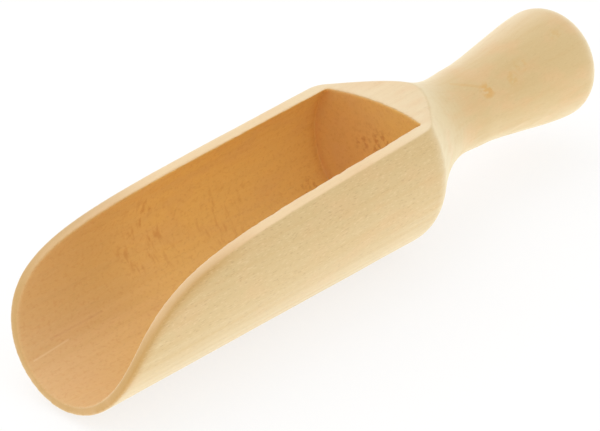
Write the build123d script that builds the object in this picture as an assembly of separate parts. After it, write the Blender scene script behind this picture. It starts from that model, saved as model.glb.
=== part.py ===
from build123d import *
import os

# Wooden kitchen scoop, turned from one billet of beech.
# A turner shapes the outside and bores the bowl from the front.
# A saw then opens the bowl along its top, from over the neck down to the lip.
# X lies along the turning axis and points at the handle, +Z is up, and the bowl's open side faces up.
# The origin is under the middle of the scoop, level with the lowest line of the bowl.
# Lengths are in millimetres.

# Bowl, outside
shoulder_diameter = 48.0
mouth_diameter = 45.3
bowl_reach = 107.3
shoulder_setback = 2.6
shoulder_radius = 7.6
shoulder_turn_degrees = 38.3

# Bowl, inside: walls as measured at the sides, with the hollow bored a little below the turning axis
wall = 2.9
lip_wall = 3.0
bore_drop = 0.55
dish_depth = 4.0

# Saw cut, seen from the side: a nearly level deck, then a sweep down to the lip
# A pull is how far a curve is drawn out along its end's direction before it bends away
deck_height = 13.6
deck_fall = 1.5
deck_reach = 39.1
sweep_start_pull = 52.3
sweep_end_pull = 29.5
lip_rake = 6.2
saw_exit = 1.5

# Handle
neck_diameter = 22.4
neck_reach = 34.5
knob_diameter = 31.0
knob_reach = 67.5
handle_reach = 77.9
cove_start_pull = 24.3
cove_end_pull = 7.8
flare_start_pull = 7.5
flare_end_pull = 7.2
knob_shoulder_pull = 7.8
knob_end_pull = 2.4

# Width that sandpaper takes off the rim's edges
rim_outer_easing = 0.4
rim_inner_easing = 0.3

# How far the cutting shapes run past the wood, and how near a surface a point has to be to count as on it
overrun = 10.0
touching = 0.02

# Sizes worked out from the ones above
shoulder_r = shoulder_diameter / 2
mouth_r = mouth_diameter / 2
bore_r = shoulder_r - wall
bore_mouth_r = mouth_r - lip_wall
neck_r = neck_diameter / 2
knob_r = knob_diameter / 2


def along_slope(start, end, extra):
    """The line from start to end, made longer past its end by extra."""
    direction = (Vector(*end) - Vector(*start)).normalized()
    return Vector(*end) + direction * extra


def turned_profile():
    """Half outline of the turned blank, from the mouth to the tip of the handle."""
    shoulder = Vector(-shoulder_setback, shoulder_r)
    mouth = along_slope(shoulder, (-bowl_reach, mouth_r), overrun)
    body_line = Line(mouth, shoulder)
    shoulder_arc = JernArc(shoulder, body_line % 1, shoulder_radius, -shoulder_turn_degrees)
    cove_start = shoulder_arc @ 1
    neck = Vector(neck_reach, neck_r)
    knob = Vector(knob_reach, knob_r)
    tip = Vector(handle_reach, 0)
    cove = Bezier(
        cove_start,
        cove_start + (shoulder_arc % 1) * cove_start_pull,
        neck - Vector(cove_end_pull, 0),
        neck,
    )
    flare = Bezier(neck, neck + Vector(flare_start_pull, 0), knob - Vector(flare_end_pull, 0), knob)
    knob_end = Bezier(knob, knob + Vector(knob_shoulder_pull, 0), tip + Vector(0, knob_end_pull), tip)
    axis_line = Polyline(tip, Vector(mouth.X, 0), mouth)
    return Wire([body_line, shoulder_arc, cove, flare, knob_end] + axis_line.edges())


def turned_blank():
    """The outside as it comes off the lathe, before it is bored and cut."""
    return revolve(Plane.XZ * make_face(turned_profile()), Axis.X)


def bore_tool():
    """The bowl's hollow, which follows the outside and ends in a shallow dish."""
    rim = Vector(0, bore_r)
    mouth = along_slope(rim, (-bowl_reach, bore_mouth_r), overrun)
    side = Line(mouth, rim)
    dish_r = (bore_r**2 + dish_depth**2) / (2 * dish_depth)
    dish = RadiusArc(rim, Vector(dish_depth, 0), dish_r)
    axis_line = Polyline(Vector(dish_depth, 0), Vector(mouth.X, 0), mouth)
    outline = Wire([side, dish] + axis_line.edges())
    return Pos(0, 0, -bore_drop) * revolve(Plane.XZ * make_face(outline), Axis.X)


def saw_line():
    """Path of the blade in the side view, from over the neck down past the lip."""
    over_bore = Vector(0, deck_height)
    bend = Vector(-deck_reach, deck_height - deck_fall)
    deck_slope = (bend - over_bore).normalized()
    over_neck = along_slope(bend, over_bore, neck_reach)
    lip = Vector(-bowl_reach, -mouth_r)
    sweep_end = lip + Vector(lip_rake, sweep_end_pull)
    past_lip = along_slope(sweep_end, lip, saw_exit)
    deck = Line(over_neck, bend)
    sweep = Bezier(bend, bend + deck_slope * sweep_start_pull, sweep_end, past_lip)
    below = Line(past_lip, along_slope(sweep_end, past_lip, overrun))
    return [deck, sweep, below]


def saw_tool():
    """Everything above and in front of the saw line."""
    path = saw_line()
    over_neck = path[0] @ 0
    under_lip = path[-1] @ 1
    top = shoulder_r + overrun
    front = -bowl_reach - overrun
    around = Polyline(under_lip, (front, under_lip.Y), (front, top), (over_neck.X, top), over_neck)
    outline = Wire(path + around.edges())
    return extrude(Plane.XZ * make_face(outline), shoulder_r + overrun, both=True)


def edges_on(surface, edges):
    """Those of the edges whose middle lies on a surface."""
    return [edge for edge in edges if surface.distance_to(edge @ 0.5) < touching]


def scoop():
    """The finished scoop, lying level on its bowl."""
    blank = turned_blank()
    bore = bore_tool()
    bored = blank - bore
    saw = saw_tool()
    sawn = (bored - saw).solid()
    sawn_edges = new_edges(bored, saw, combined=sawn)
    outer_rim = edges_on(blank.shell(), sawn_edges)
    inner_rim = edges_on(bore.shell(), sawn_edges)
    eased = sawn.chamfer(rim_outer_easing, None, outer_rim)
    eased = eased.chamfer(rim_inner_easing, None, inner_rim)
    middle = eased.bounding_box().center().X
    return Pos(-middle, 0, shoulder_r) * eased


os.makedirs("parts", exist_ok=True)
export_step(scoop(), "parts/scoop.step")
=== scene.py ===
# %% [markdown]
# A turned beech scoop for flour or sugar. It is one piece of wood, so this lesson is about two things:
# giving a machine-exact shape the soft edges of hand work, and a wood that is right on every side of it.
# The measured body comes in first, and everything below is worked out from it.

# %% Load the scoop's body
import math
import bmesh
import bpy
from mathutils import Euler, Matrix, Vector, noise
from mathutils.kdtree import KDTree


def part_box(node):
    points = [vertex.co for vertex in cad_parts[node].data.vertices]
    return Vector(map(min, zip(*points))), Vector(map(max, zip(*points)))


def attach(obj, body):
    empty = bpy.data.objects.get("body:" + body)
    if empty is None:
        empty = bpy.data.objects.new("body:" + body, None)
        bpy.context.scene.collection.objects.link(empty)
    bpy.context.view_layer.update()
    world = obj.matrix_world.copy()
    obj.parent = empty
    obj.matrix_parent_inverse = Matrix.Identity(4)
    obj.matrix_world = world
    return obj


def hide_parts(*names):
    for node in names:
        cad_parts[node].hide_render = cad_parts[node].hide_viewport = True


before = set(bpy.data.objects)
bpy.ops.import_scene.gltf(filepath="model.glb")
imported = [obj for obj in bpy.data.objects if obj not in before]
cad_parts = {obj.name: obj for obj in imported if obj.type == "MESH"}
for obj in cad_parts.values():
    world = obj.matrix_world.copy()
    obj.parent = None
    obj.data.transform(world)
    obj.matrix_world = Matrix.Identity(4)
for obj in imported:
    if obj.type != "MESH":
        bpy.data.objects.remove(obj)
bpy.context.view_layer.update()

mm = 0.001
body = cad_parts["scoop"]
low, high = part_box("scoop")
print("scoop, mm:", [round(side / mm, 1) for side in high - low])

# %% [markdown]
# The camera is the first thing to settle, because it decides what has to be good from close by.
# The picture was taken with a long lens from the front left, a little above the scoop.
# An orbit about a point of the scoop says that in numbers that are easier to read than a place and a turn.

# %% Set up the camera
aim = Vector((-4.4, 8.5, 11.3)) * mm
camera_distance = 576 * mm
camera_azimuth = math.radians(-44.11)
camera_elevation = math.radians(29.26)
camera_roll = math.radians(-3.01)
lens_mm = 136.8
sensor_mm = 36


def orbit(azimuth, elevation, roll):
    """The turn of a camera that looks at its aim from that side and height."""
    turned = Euler((math.pi / 2 - elevation, 0, azimuth)).to_matrix()
    return turned @ Matrix.Rotation(roll, 3, "Z")


def shown(name, data):
    """A new object of the scene that shows a mesh, a lamp or a camera."""
    made = bpy.data.objects.new(name, data)
    bpy.context.scene.collection.objects.link(made)
    return made


camera_turn = orbit(camera_azimuth, camera_elevation, camera_roll)
camera_place = aim + camera_turn @ Vector((0, 0, camera_distance))
camera_data = bpy.data.cameras.new("camera")
camera_data.lens = lens_mm
camera_data.sensor_width = sensor_mm
camera = shown("camera", camera_data)
camera.matrix_world = Matrix.Translation(camera_place) @ camera_turn.to_4x4()
bpy.context.scene.camera = camera
print("camera, mm:", [round(length / mm, 1) for length in camera_place])

# %% [markdown]
# The measured body is a net of long thin triangles with edges like a knife's.
# A turner's scoop has no such edge, because sandpaper goes over every rim.
# Bevels would need clean loops along the rims, which a sawn shape doesn't have.
# So the body gets an even skin of small squares first, and then its edges are rubbed down, as sandpaper does.
# The copy is welded before that, because its triangles come loose from each other.
# The scoop lies on its widest part, so its turning axis is as high as that part is wide to one side.

# %% Weld a copy
weld_distance = 0.001 * mm
axis_height = -low.y

welded = bmesh.new()
welded.from_mesh(body.data)
bmesh.ops.remove_doubles(welded, verts=welded.verts, dist=weld_distance)
print("points after welding:", len(welded.verts))
print("turning axis, mm above the floor:", round(axis_height / mm, 2))

# %% [markdown]
# The sharp lines of the body say where to sand. There are three: the rim's outer edge, its inner edge,
# and the corner at the bottom of the hollow. A line is told by whether it stands out or folds in, and by
# whether a face beside it looks at the axis.

# %% Find the sharp lines
sharp_turn = math.radians(15)
line_step = 0.3 * mm
facing_axis = -0.3


def outward(point):
    """The direction away from the turning axis."""
    away = Vector((0, point.y, point.z - axis_height))
    return away.normalized() if away.length > 0 else Vector((0, 0, 1))


def kind_of_line(edge):
    """Which sharp line of the scoop an edge belongs to."""
    middle = (edge.verts[0].co + edge.verts[1].co) / 2
    if not edge.is_convex:
        return "corner"
    if any(face.normal.dot(outward(middle)) < facing_axis for face in edge.link_faces):
        return "inner rim"
    return "outer rim"


lines = {"outer rim": [], "inner rim": [], "corner": []}
for edge in welded.edges:
    if len(edge.link_faces) == 2 and edge.calc_face_angle() > sharp_turn:
        start, end = (vert.co.copy() for vert in edge.verts)
        steps = max(1, round((end - start).length / line_step))
        lines[kind_of_line(edge)] += [start.lerp(end, step / steps) for step in range(steps + 1)]
print("points on each line:", {kind: len(points) for kind, points in lines.items()})

# %% [markdown]
# The next steps ask again and again how far a place is from a line. Going through all its points would take
# minutes, so they go into a search tree, which finds the nearest one at once.

# %% Make the lines searchable
def search_tree(points):
    """A tree that finds the nearest of many points."""
    tree = KDTree(len(points))
    for place, point in enumerate(points):
        tree.insert(point, place)
    tree.balance()
    return tree


line_trees = {kind: search_tree(points) for kind, points in lines.items()}
lip_tip = min(lines["outer rim"], key=lambda point: point.x)
print("flat of the lip between its edges, mm:", round(line_trees["inner rim"].find(lip_tip)[2] / mm, 1))

# %% [markdown]
# Voxel remeshing lays squares of one size over any closed shape.
# They have to be small, because the inner rim is an acute edge that large squares would leave ragged.

# %% Lay an even skin over it
skin_square = 0.32 * mm


def modified_copy(mesh, kind, **settings):
    """A copy of a mesh with one modifier applied to it."""
    carrier = shown("carrier", mesh)
    modifier = carrier.modifiers.new("change", kind)
    for name, value in settings.items():
        setattr(modifier, name, value)
    bpy.context.view_layer.update()
    changed = bpy.data.meshes.new_from_object(carrier.evaluated_get(bpy.context.evaluated_depsgraph_get()))
    bpy.data.objects.remove(carrier)
    return changed


welded_mesh = bpy.data.meshes.new("welded_scoop")
welded.to_mesh(welded_mesh)
welded.free()
even_mesh = modified_copy(welded_mesh, "REMESH", mode="VOXEL", voxel_size=skin_square)
skin = bmesh.new()
skin.from_mesh(even_mesh)
print("squares:", len(skin.faces))

# %% [markdown]
# Where a thin edge runs between the squares, the skin cuts across it and leaves it stepped, and it fills the
# corner of the hollow a little. So for each point of a sharp line the nearest point of the skin is moved
# onto it, as a file trues an edge.

# %% True the sharp lines
trued_within = 0.45 * mm

skin_tree = search_tree([vert.co.copy() for vert in skin.verts])
skin.verts.ensure_lookup_table()
trued = 0
for points in lines.values():
    for point in points:
        _, nearest, distance = skin_tree.find(point)
        if distance < trued_within:
            skin.verts[nearest].co = point
            trued += 1
print("points trued:", trued)

# %% [markdown]
# Sanding is smooth_vert on the points near a sharp line, a few strokes at a time.
# The outer rim gets the most strokes, as it does by hand, and the inner rim only enough to take its burr off.
# The corner at the bottom of the hollow is out of the sandpaper's reach. It gets only the two light strokes
# that go over everything, and stays sharp.

# %% Sand the edges
sanding_width = {"outer rim": 1.5 * mm, "inner rim": 0.8 * mm}
sanding_strokes = {"outer rim": 8, "inner rim": 5}
all_strokes = 2
stroke_strength = 0.5


def sand(verts, strokes):
    """Rubs the points down, each stroke moving them half way to the middle of their neighbours."""
    for _ in range(strokes):
        bmesh.ops.smooth_vert(
            skin, verts=verts, factor=stroke_strength, use_axis_x=True, use_axis_y=True, use_axis_z=True
        )


sand(skin.verts[:], all_strokes)
for kind, width in sanding_width.items():
    near = [vert for vert in skin.verts if line_trees[kind].find(vert.co)[2] < width]
    sand(near, sanding_strokes[kind])
    print(kind, "points sanded:", len(near))

# %% [markdown]
# The blank was round before it was sawn, so the underside still tells how wide it was at each place along it.
# Whatever lies nearer to the axis than that was cut away, which is how the sawn rim is found further on.

# %% Measure the round blank
slice_length = 0.5 * mm
straight_down = -0.95


def radius(point):
    """How far a point is from the turning axis."""
    return math.hypot(point.y, point.z - axis_height)


slices = {}
for vert in skin.verts:
    if outward(vert.co).z < straight_down and vert.normal.z < 0:
        slices.setdefault(round(vert.co.x / slice_length), []).append(vert.co)
widths = {place: sum(radius(point) for point in points) / len(points) for place, points in slices.items()}


def blank_radius(x):
    """How far the blank's surface was from the axis at a place along it."""
    place = x / slice_length
    before = math.floor(place)
    nearest = min(widths, key=lambda known: abs(known - place)) if before not in widths else before
    after = nearest + 1 if nearest + 1 in widths else nearest
    return widths[nearest] + (widths[after] - widths[nearest]) * min(1, max(0, place - nearest))


print("blank, mm:", {x: round(blank_radius(x * mm) / mm, 1) for x in (-80, 0, 50, 80)})

# %% [markdown]
# Wood that a hand has finished is never quite true. Each point goes in by a few hundredths of a millimetre,
# by a slow noise, so that long highlights waver a little. It only goes in, so the scoop keeps within its
# measured size.

# %% Let the surface waver
waver_depth = 0.09 * mm
waver_length = 11 * mm

skin.normal_update()
shifts = [(noise.noise(vert.co / waver_length) - 1) / 2 * waver_depth for vert in skin.verts]
for vert, shift in zip(skin.verts, shifts):
    vert.co += vert.normal * shift
sanded_mesh = bpy.data.meshes.new("sanded_scoop")
skin.to_mesh(sanded_mesh)
skin.free()
print("deepest, mm:", round(min(shifts) / mm, 3))

# %% [markdown]
# So fine a skin is far heavier than the shape needs. Decimate joins triangles where the surface is flat
# and keeps them where it turns, so the rounded rims stay and the long walls get light.

# %% Thin the skin where it is flat
kept_share = 0.22

thinned_mesh = modified_copy(sanded_mesh, "DECIMATE", ratio=kept_share)
print("triangles:", sum(len(polygon.vertices) - 2 for polygon in thinned_mesh.polygons))

# %% [markdown]
# The same wood shows four faces: turned outside, sawn along the rim, bored inside, and end grain where a cut
# goes across the fibres. Two lines look different again: the rim's rubbed outer edge, which gets painted
# shade round the mouth, and the corner at the bottom of the hollow, which gets painted shade all round. Masks
# on the mesh's points tell the materials which is where. A material could work them out from normals, but
# masks that are stored with the points stay right wherever the scoop is taken.
# Each mask is a ramp over a measure of the point, such as its depth below the blank's surface.

# %% Set the masks' ramps
facing_in_ramp = (0.35, 0.75)
facing_mouth_ramp = (0.75, 0.92)
facing_hollow_ramp = (0.3, 0.6)
across_fibres_ramp = (0.55, 0.9)
cut_away_ramp = (0.2 * mm, 0.45 * mm)
corner_ramp = (0.3 * mm, 2.2 * mm)
edge_ramp = (0.2 * mm, 2.6 * mm)
deck_end_ramp = (16 * mm, 30 * mm)
deck_end_sanded = 0.35
dish_start = 10 * mm
corner_gain = 2


def ramp(value, limits):
    """0 below the first limit, 1 above the second, and straight between."""
    start, full = limits
    return min(1, max(0, (value - start) / (full - start)))


sawn_by_depth = {depth: round(ramp(depth * mm, cut_away_ramp), 2) for depth in (0.1, 0.3, 0.6)}
print("how sawn a point is at a depth in mm:", sawn_by_depth)

# %% [markdown]
# Now every point gets its masks. A face of the hollow looks at the axis, or, in the dish, towards the mouth,
# and the corner between the two counts as bored whichever way its points look.
# A sawn point lies below the blank's surface and isn't bored, and where the deck runs out into the handle,
# sandpaper has taken a part of the saw's look away.

# %% Mark the faces of the wood
skin = bmesh.new()
skin.from_mesh(thinned_mesh)
bored_mask = skin.verts.layers.float.new("bored")
sawn_mask = skin.verts.layers.float.new("sawn")
end_mask = skin.verts.layers.float.new("end_grain")
edge_mask = skin.verts.layers.float.new("edge")
corner_mask = skin.verts.layers.float.new("corner")

for vert in skin.verts:
    looks_out = vert.normal.dot(outward(vert.co))
    facing_in = ramp(-looks_out, facing_in_ramp)
    facing_mouth = ramp(-vert.normal.x, facing_mouth_ramp) if vert.co.x > dish_start else 0
    facing_hollow = ramp(-looks_out - vert.normal.x, facing_hollow_ramp)
    in_corner = facing_hollow * (1 - ramp(line_trees["corner"].find(vert.co)[2], corner_ramp))
    cut_away = ramp(blank_radius(vert.co.x) - radius(vert.co), cut_away_ramp)
    sanded_off = deck_end_sanded * ramp(vert.co.x, deck_end_ramp)
    vert[corner_mask] = in_corner
    vert[bored_mask] = min(1, facing_in + facing_mouth + corner_gain * in_corner)
    vert[sawn_mask] = cut_away * (1 - vert[bored_mask]) * (1 - sanded_off)
    vert[end_mask] = ramp(abs(vert.normal.x), across_fibres_ramp)
    vert[edge_mask] = 1 - ramp(line_trees["outer rim"].find(vert.co)[2], edge_ramp)
for layer in (bored_mask, sawn_mask, end_mask, edge_mask, corner_mask):
    print(layer.name, "share of points:", round(sum(vert[layer] for vert in skin.verts) / len(skin.verts), 3))

# %% [markdown]
# The marked skin becomes the scoop that is seen. It rides on the scoop's only body and stands for the
# measured one. Its faces take one of two finishes: first the sanded one, second the bored one, which is only
# skimmed.

# %% Make it the scoop
sanded_slot, bored_slot = 0, 1
bored_from = 0.5

scoop_mesh = bpy.data.meshes.new("beech_scoop")
skin.to_mesh(scoop_mesh)
skin.free()
bored_points = scoop_mesh.attributes["bored"].data
for polygon in scoop_mesh.polygons:
    polygon.use_smooth = True
    least_bored = min(bored_points[point].value for point in polygon.vertices)
    polygon.material_index = bored_slot if least_bored > bored_from else sanded_slot
scoop = shown("beech_scoop", scoop_mesh)
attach(scoop, "root")
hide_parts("scoop")
print("points:", len(scoop_mesh.vertices), "faces:", len(scoop_mesh.polygons))

# %% [markdown]
# Materials are made of nodes, and a helper that makes a node and joins it up keeps them readable.
# Both finishes show the same beech, so its figure is one node group that each of them holds.
# It gets the place and the masks, and puts out a colour, a roughness and a height. The place is given in the
# scoop's own coordinates, in metres, so the figure runs through the wood as through a real billet.

# %% Start the figure of the beech
mask_names = ("Bored", "Sawn", "End Grain", "Edge", "Corner")


def node(tree, kind, inputs, **properties):
    """A new node. Its inputs are given by name or number, and take a socket or a plain value."""
    made = tree.nodes.new(kind)
    for name, value in properties.items():
        setattr(made, name, value)
    for name, value in inputs.items():
        if isinstance(value, bpy.types.NodeSocket):
            tree.links.new(value, made.inputs[name])
        else:
            made.inputs[name].default_value = value
    return made


figure = bpy.data.node_groups.new("beech_figure", "ShaderNodeTree")
figure.interface.new_socket("Place", in_out="INPUT", socket_type="NodeSocketVector")
for name in mask_names:
    figure.interface.new_socket(name, in_out="INPUT", socket_type="NodeSocketFloat")
figure.interface.new_socket("Colour", in_out="OUTPUT", socket_type="NodeSocketColor")
figure.interface.new_socket("Roughness", in_out="OUTPUT", socket_type="NodeSocketFloat")
figure.interface.new_socket("Height", in_out="OUTPUT", socket_type="NodeSocketFloat")
given = figure.nodes.new("NodeGroupInput").outputs
place = given["Place"]
bored, sawn, end_grain, edge, corner = (given[name] for name in mask_names)
along, across, _ = node(figure, "ShaderNodeSeparateXYZ", {"Vector": place}).outputs
print("inputs:", [socket.name for socket in given if socket.name])

# %% [markdown]
# First the ground colours. Sanded beech is a pale straw. The sawn rim is a shade lighter and pinker, because
# its fibres are freshly cut: palest on the deck, and a little deeper towards the mouth. The hollow is a warm
# orange, where the boring tool has burnished it, and pinker at the mouth.
# Each colour is written as a screen shows it and then made linear, because light adds up in linear numbers.

# %% Ground colours
def colour(red, green, blue):
    """A colour written as on a screen, 0 to 255, made linear by the screen's own curve."""
    parts = [part / 255 for part in (red, green, blue)]
    return tuple(((part + 0.055) / 1.055) ** 2.4 for part in parts) + (1,)


def between(tree, value, limits):
    """A mask that goes from 0 to 1 between two levels of a value, of which the first may be the higher."""
    zero_at, one_at = limits
    levels = {"Value": value, "From Min": zero_at, "From Max": one_at}
    return node(tree, "ShaderNodeMapRange", levels, interpolation_type="SMOOTHSTEP").outputs["Result"]


def tinted(tree, base, tint, share):
    """A colour moved towards a tint by a share. A Mix node has its colours at inputs 6 and 7 and output 2."""
    return node(tree, "ShaderNodeMix", {"Factor": share, 6: base, 7: tint}, data_type="RGBA").outputs[2]


sanded_colour = colour(203, 174, 120)
sawn_colour = colour(227, 194, 146)
sawn_front_colour = colour(222, 184, 134)
deck_colour = colour(226, 201, 160)
bored_colour = colour(236, 194, 112)
mouth_colour = colour(220, 177, 122)
sawn_front_zone = (-38 * mm, -60 * mm)
deck_zone = (-8 * mm, 19 * mm)
mouth_zone = (-30 * mm, -95 * mm)

fresh = tinted(figure, sawn_colour, sawn_front_colour, between(figure, along, sawn_front_zone))
fresh = tinted(figure, fresh, deck_colour, between(figure, along, deck_zone))
burnished = tinted(figure, bored_colour, mouth_colour, between(figure, along, mouth_zone))
ground = tinted(figure, sanded_colour, fresh, sawn)
ground = tinted(figure, ground, burnished, bored)
print("sanded beech, linear:", [round(part, 3) for part in sanded_colour[:3]])

# %% [markdown]
# Then the darker places. End grain drinks in the light, so it is darker along the sawn rim and on the lip's
# far side.
# On the rubbed edge round the mouth the darker colour is partly end grain and partly painted shade, where the
# rounded edge turns from the light. In the hollow the dish's end grain is darker on its far side, partly with
# painted shade of the deep hollow, and the corner all round gets painted shade. A darker place is where all
# its masks meet, so they are multiplied with its share.

# %% End grain and painted shade
# Darker end grain, also used for painted shade on the rubbed edge round the mouth.
end_grain_and_edge_shade_colour = colour(188, 142, 66)
dish_grain_and_corner_shade_colour = colour(206, 128, 48)
dish_far_zone = (-8 * mm, 12 * mm)
lip_zone = (-44 * mm, -66 * mm)
far_lip_zone = (6 * mm, 18 * mm)


def times(tree, *values):
    """The product of sockets and numbers."""
    product = values[0]
    for value in values[1:]:
        product = node(tree, "ShaderNodeMath", {0: product, 1: value}, operation="MULTIPLY").outputs[0]
    return product


dish_far_side = between(figure, across, dish_far_zone)
lip = between(figure, along, lip_zone)
far_lip = between(figure, across, far_lip_zone)
darker_places = (
    # The dish's end grain, darker on its far side, partly painted shade of the deep hollow.
    (dish_grain_and_corner_shade_colour, (end_grain, bored, dish_far_side), 0.35),
    # Painted shade in the corner all round the bottom of the hollow.
    (dish_grain_and_corner_shade_colour, (corner, bored), 0.35),
    (end_grain_and_edge_shade_colour, (end_grain, sawn), 0.9),
    # The rubbed edge round the mouth: partly end grain, partly painted shade where the rounded edge turns
    # from the light.
    (end_grain_and_edge_shade_colour, (edge, lip), 0.7),
    (end_grain_and_edge_shade_colour, (lip, far_lip), 0.3),
)
for tint, masks, share in darker_places:
    ground = tinted(figure, ground, tint, times(figure, *masks, share))
print("darker places:", len(darker_places))

# %% [markdown]
# Then the figure that runs through the whole billet: faint streaks along the grain and a slow pinkish mottle.
# Both are noises. Fewer grains of noise to the metre along X, the grain, turn round grains into long ones.
# The handle has more of the mottle, and a painted highlight makes it a little paler along its far side, where
# light from above falls.

# %% Streaks, mottle and a painted highlight
streak_colour = colour(196, 152, 98)
mottle_colour = colour(218, 170, 118)
handle_highlight_colour = colour(230, 196, 152)
streak_grains, streak_levels, streak_share = (14, 500, 500), (0.4, 0.8), 0.14
mottle_grains, mottle_levels, mottle_shares = (90, 170, 170), (0.45, 0.7), (0.2, 0.4)
handle_zone = (12 * mm, 32 * mm)
handle_highlight_zone, handle_highlight_share = (-6 * mm, 6 * mm), 0.55


def stretched_noise(tree, place, per_metre, detail=2):
    """Noise with that many grains to the metre in x, y and z, and with finer noise added for more detail."""
    mapping = node(tree, "ShaderNodeMapping", {"Vector": place, "Scale": per_metre})
    looks = {"Vector": mapping.outputs["Vector"], "Scale": 1.0, "Detail": detail}
    return node(tree, "ShaderNodeTexNoise", looks).outputs["Fac"]


def changing(tree, mask, values):
    """A number that goes from the first value to the second as a mask goes from 0 to 1."""
    first, second = values
    ends = {"Value": mask, "To Min": first, "To Max": second}
    return node(tree, "ShaderNodeMapRange", ends).outputs["Result"]


streaks = between(figure, stretched_noise(figure, place, streak_grains, detail=3), streak_levels)
mottle = between(figure, stretched_noise(figure, place, mottle_grains, detail=3), mottle_levels)
on_handle = between(figure, along, handle_zone)
# Painted highlight: the handle is made paler along its far, upper side, where light from above falls on it.
handle_highlight = times(figure, on_handle, between(figure, across, handle_highlight_zone), handle_highlight_share)
wood = tinted(figure, ground, handle_highlight_colour, handle_highlight)
wood = tinted(figure, wood, streak_colour, times(figure, streaks, streak_share))
wood = tinted(figure, wood, mottle_colour, times(figure, mottle, changing(figure, on_handle, mottle_shares)))
print("nodes in the figure:", len(figure.nodes))

# %% [markdown]
# The short dark dashes of the rays are what beech is known by, with paler ones between them. One fine noise
# gives both, the dark ones at its high end and the pale ones at its low end. They show best on the turned
# outside of the bowl, and less on the handle, the rim and in the hollow.

# %% Ray flecks
fleck_colour = colour(160, 118, 70)
pale_colour = colour(240, 214, 172)
ray_grains = (800, 3600, 3600)
fleck_levels, pale_fleck_levels = (0.6, 0.74), (0.42, 0.3)
fleck_shares = (0.36, 0.12)
pale_fleck_share = 0.5


def larger(tree, first, second):
    """The larger of two sockets."""
    return node(tree, "ShaderNodeMath", {0: first, 1: second}, operation="MAXIMUM").outputs[0]


rays = stretched_noise(figure, place, ray_grains, detail=1)
flecks = between(figure, rays, fleck_levels)
pale_flecks = between(figure, rays, pale_fleck_levels)
plain_faces = larger(figure, larger(figure, on_handle, bored), sawn)
showing = changing(figure, plain_faces, fleck_shares)
wood = tinted(figure, wood, fleck_colour, times(figure, flecks, showing))
wood = tinted(figure, wood, pale_colour, times(figure, pale_flecks, showing, pale_fleck_share))
print("nodes in the figure:", len(figure.nodes))

# %% [markdown]
# The boring tool leaves its own marks in the hollow: short dashes round the wall, where it chattered across
# the grain, and fine pits. Masks round a few places keep the chatter where the real one has it. Each place in
# the tables below is given in millimetres, with its reach and the share of its colour.

# %% Tool marks
tool_mark_colour = colour(190, 110, 36)
chatter_places = (((-47, 20, 20), 14, 0.34), ((-23, 18, 14), 12, 0.24))
crossing_grains, dash_levels = (700, 240, 240), (0.5, 0.72)
pit_grains, pit_levels, pit_share = (1000, 1300, 1300), (0.52, 0.7), 0.16
spot_core = 0.4


def reckoned(tree, step, inputs, result="Vector"):
    """One step of reckoning with places and directions."""
    return node(tree, "ShaderNodeVectorMath", inputs, operation=step).outputs[result]


def spot(tree, place, centre, reach):
    """A mask that is 1 at a place of the scoop and fades to 0 at its reach, both in millimetres."""
    away = reckoned(tree, "DISTANCE", {0: place, 1: Vector(centre) * mm}, "Value")
    return between(tree, away, (reach * mm, spot_core * reach * mm))


crossing = stretched_noise(figure, place, crossing_grains)
dashes = between(figure, crossing, dash_levels)
pits = between(figure, stretched_noise(figure, place, pit_grains), pit_levels)
for centre, reach, share in chatter_places:
    chatter = times(figure, dashes, spot(figure, place, centre, reach), bored, share)
    wood = tinted(figure, wood, tool_mark_colour, chatter)
wood = tinted(figure, wood, tool_mark_colour, times(figure, pits, bored, pit_share))
print("chattered places:", len(chatter_places))

# %% [markdown]
# Some marks are this scoop's own. The tool tore the end grain of the dish and left a dark patch on the far
# wall just before it. The handle has a small curl of darker grain, with a few specks further along.

# %% Torn grain and the curl
torn_colour = colour(172, 84, 18)
curl_colour = colour(204, 148, 50)
torn_grains, torn_levels = (900, 800, 800), (0.45, 0.7)
torn_places = (
    ((18.5, 1, 24.5), 5, 0.36),
    ((18.5, 4, 25), 8, 0.16),
    ((18.2, 7.5, 23), 3, 0.3),
    ((8, 17, 11), 4, 0.4),
)
curl_grains, curl_levels = (600, 900, 900), (0.4, 0.6)
curl_places = (
    ((48.8, -8.4, 31.3), 3.0, 0.6),
    ((57.9, -9.2, 31.8), 2.5, 0.3),
    ((62.2, -8.3, 33.7), 2.5, 0.3),
    ((77, -7.9, 36.8), 2.5, 0.22),
)

crumbs = between(figure, stretched_noise(figure, place, torn_grains), torn_levels)
for centre, reach, share in torn_places:
    torn = times(figure, crumbs, spot(figure, place, centre, reach), bored, share)
    wood = tinted(figure, wood, torn_colour, torn)
curls = between(figure, stretched_noise(figure, place, curl_grains), curl_levels)
for centre, reach, share in curl_places:
    wood = tinted(figure, wood, curl_colour, times(figure, curls, spot(figure, place, centre, reach), share))
print("torn places:", len(torn_places), "specks of the curl:", len(curl_places))

# %% [markdown]
# A fine dark line runs into the curl, and two scratches, a pale and a dark one, lie in the mouth. Each is a
# straight stroke: the nearest point of the stroke is found first, and then how far away it is.
# The table gives the colour of each, its two ends, its width and the share of its colour.

# %% Scratches
scratch_core = 0.3
scratches = (
    (curl_colour, (41, -2.8, 34.4), (47.8, -7.4, 32.4), 0.7, 0.22),
    (pale_colour, (-89, 12.1, 8.0), (-78, 12.7, 8.3), 0.35, 0.25),
    (torn_colour, (-82, 14.2, 9.7), (-66, 14.5, 9.6), 0.4, 0.12),
)


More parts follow.
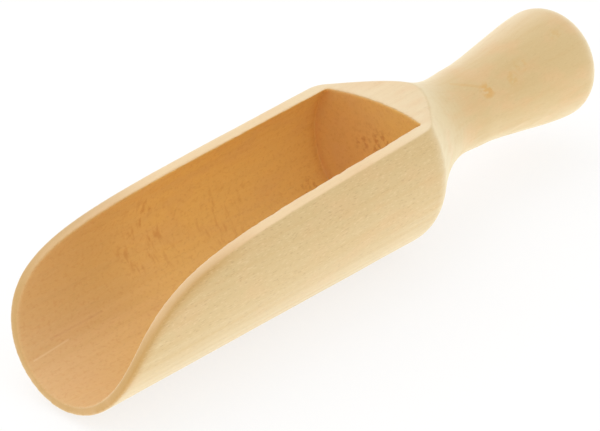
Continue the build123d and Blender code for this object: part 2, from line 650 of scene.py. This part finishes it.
def scratch(tree, place, start, end, width):
    """A mask that is 1 on the line from start to end and fades to 0 at its width, all in millimetres."""
    start, end = Vector(start) * mm, Vector(end) * mm
    way = (end - start).normalized()
    longest = (end - start).length
    from_start = reckoned(tree, "SUBTRACT", {0: place, 1: start})
    reach = reckoned(tree, "DOT_PRODUCT", {0: from_start, 1: way}, "Value")
    reach = node(tree, "ShaderNodeClamp", {"Value": reach, "Min": 0.0, "Max": longest}).outputs["Result"]
    nearest = reckoned(tree, "SCALE", {0: way, "Scale": reach})
    away = reckoned(tree, "DISTANCE", {0: from_start, 1: nearest}, "Value")
    return between(tree, away, (width * mm, scratch_core * width * mm))


for tint, start, end, width, share in scratches:
    wood = tinted(figure, wood, tint, times(figure, scratch(figure, place, start, end, width), share))
print("scratches:", len(scratches))

# %% [markdown]
# Last the figure puts out what it found. The streaks are a little rougher than the wood between them, and the
# noise that draws the chatter is also the height of the torn fibres.

# %% Close the figure
roughness_levels = (-2.5, 2.5)

roughness = between(figure, streaks, roughness_levels)
node(figure, "NodeGroupOutput", {"Colour": wood, "Roughness": roughness, "Height": crossing})
print("nodes in the figure:", len(figure.nodes))

# %% [markdown]
# Two finishes hold that figure. The sanded one has a nap of torn fibre ends, which catches light at a
# glancing look and pales the scoop's outline: that is what sheen is for. The bored one was only skimmed and
# has none.

# %% The two finishes
nap_colour = colour(250, 249, 226)
nap_roughness = 0.5
relief_strength = 0.5


def finish_material(name, nap, relief):
    """Beech with its own nap and relief."""
    material = bpy.data.materials.new(name)
    material.use_nodes = True
    tree = material.node_tree
    wood = tree.nodes.new("ShaderNodeGroup")
    wood.node_tree = figure
    tree.links.new(node(tree, "ShaderNodeTexCoord", {}).outputs["Object"], wood.inputs["Place"])
    for mask in mask_names:
        layer = mask.lower().replace(" ", "_")
        stored = node(tree, "ShaderNodeAttribute", {}, attribute_name=layer)
        tree.links.new(stored.outputs["Fac"], wood.inputs[mask])
    height = {"Strength": relief_strength, "Distance": relief, "Height": wood.outputs["Height"]}
    bump = node(tree, "ShaderNodeBump", height)
    shader = tree.nodes["Principled BSDF"]
    tree.links.new(wood.outputs["Colour"], shader.inputs["Base Color"])
    tree.links.new(wood.outputs["Roughness"], shader.inputs["Roughness"])
    tree.links.new(bump.outputs["Normal"], shader.inputs["Normal"])
    shader.inputs["Sheen Weight"].default_value = nap
    shader.inputs["Sheen Roughness"].default_value = nap_roughness
    shader.inputs["Sheen Tint"].default_value = nap_colour
    return material


scoop_mesh.materials.append(finish_material("sanded_beech", nap=0.8, relief=0.02 * mm))
scoop_mesh.materials.append(finish_material("bored_beech", nap=0.0, relief=0.05 * mm))
print("finishes:", [material.name for material in scoop_mesh.materials])

# %% [markdown]
# The scoop lies in white all round, as in a light tent. The floor is a plain white sheet, part of the
# stage and not of the scoop.

# %% Floor sheet
floor_size = 6.0

floor_mesh = bpy.data.meshes.new("floor")
sheet = bmesh.new()
bmesh.ops.create_grid(sheet, x_segments=1, y_segments=1, size=floor_size / 2)
sheet.to_mesh(floor_mesh)
sheet.free()
floor = shown("floor", floor_mesh)
print("floor, m:", [round(side, 1) for side in floor.dimensions])

# %% [markdown]
# Looked at, or seen in a mirroring or a clear surface, a part of the sheet glows. So it looks as white as in
# a light tent, still keeps a shadow, and puts no more light on the scoop.

# %% Floor finish
floor_white = 0.95
floor_roughness = 0.9
floor_glow = 1.0
floor_glow_share = 0.75

floor_paint = bpy.data.materials.new("floor_white")
floor_paint.use_nodes = True
paint = floor_paint.node_tree
paint_shader = paint.nodes["Principled BSDF"]
paint_shader.inputs["Base Color"].default_value = (floor_white, floor_white, floor_white, 1)
paint_shader.inputs["Roughness"].default_value = floor_roughness
glow = node(paint, "ShaderNodeEmission", {"Strength": floor_glow})
light_path = node(paint, "ShaderNodeLightPath", {}).outputs
seen = larger(paint, light_path["Is Camera Ray"], light_path["Is Glossy Ray"])
seen = larger(paint, seen, light_path["Is Transmission Ray"])
glow_share = times(paint, seen, floor_glow_share)
parts = {0: glow_share, 1: paint_shader.outputs["BSDF"], 2: glow.outputs["Emission"]}
mixed = node(paint, "ShaderNodeMixShader", parts)
paint.links.new(mixed.outputs["Shader"], paint.nodes["Material Output"].inputs["Surface"])
floor_mesh.materials.append(floor_paint)
print("floor's glow where it is seen:", floor_glow_share)

# %% [markdown]
# The air is white too and lights the scoop from every side. A strength of 1 is the white of the picture's
# background, as long as the view is Standard, which shows each colour as it is.

# %% Air
air_white = (1, 1, 1, 1)
air_strength = 1.0

world = bpy.data.worlds.new("white_air")
bpy.context.scene.world = world
world.use_nodes = True
background = world.node_tree.nodes["Background"]
background.inputs["Color"].default_value = air_white
background.inputs["Strength"].default_value = air_strength
bpy.context.scene.view_settings.view_transform = "Standard"
print("air:", world.name, "with strength", air_strength)

# %% [markdown]
# The table of a light tent is lit from below, so that a thing on it has a pale underside and hardly a shadow.
# A broad lamp that lies on the floor and looks up does the same. The camera doesn't see it.
# A second lamp, high behind the scoop, is weak and only lifts what faces up and back.

# %% Lamps
looking_up = math.pi
leaning_forward = -0.46


def broad_lamp(name, place, turn, size, watts):
    """A square lamp that looks down, until it is turned about the x axis."""
    data = bpy.data.lights.new(name, "AREA")
    data.shape = "SQUARE"
    data.size = size
    data.energy = watts
    lamp = shown(name, data)
    lamp.location = place
    lamp.rotation_euler.x = turn
    lamp.visible_camera = False
    print(name, "W:", watts)


broad_lamp("table_lamp", place=(0, 0, 0.05 * mm), turn=looking_up, size=0.6, watts=0.45)
broad_lamp("ceiling_lamp", place=(0, 0.4, 0.8), turn=leaning_forward, size=0.9, watts=1.5)
